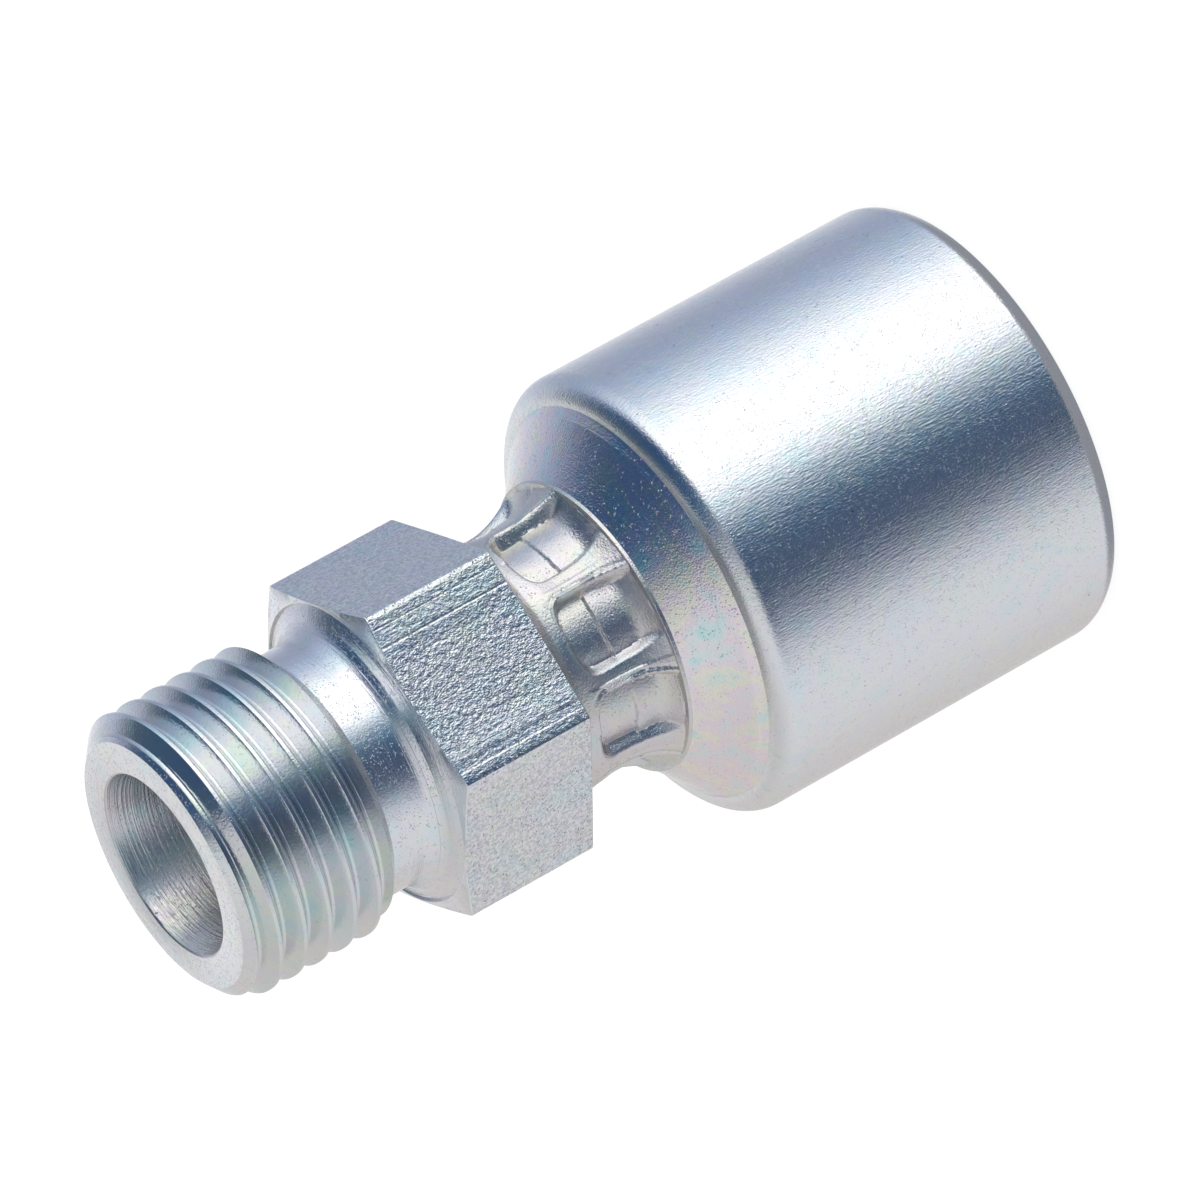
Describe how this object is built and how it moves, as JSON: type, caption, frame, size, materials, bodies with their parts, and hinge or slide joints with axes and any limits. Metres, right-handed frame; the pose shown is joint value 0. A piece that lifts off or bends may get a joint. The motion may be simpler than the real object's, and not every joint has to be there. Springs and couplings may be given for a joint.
{
  "type": "hydraulic hose coupling",
  "caption": "Male hydraulic hose coupling: fine-threaded cone-seat end, hexagon and barbed insert, with a crimp ferrule staked behind the hexagon.",
  "frame": {"origin": "middle of the ferrule's open rim, which the coupling stands on", "axes": "+Z along the bore, from the ferrule's open rim towards the threaded end; +X through a corner of the hexagon; +Y square to a pair of its flats"},
  "size_m": [0.0248, 0.0248, 0.0509],
  "materials": {
    "stem_zinc": "bright zinc plating on turned and drawn steel, with faint bluish and rainbow tints",
    "ferrule_zinc": "bright zinc plating on steel, finely scratched along its length"
  },
  "bodies": {
    "root": {"stem": "stem_zinc", "ferrule": "ferrule_zinc"}
  },
  "joints": []
}
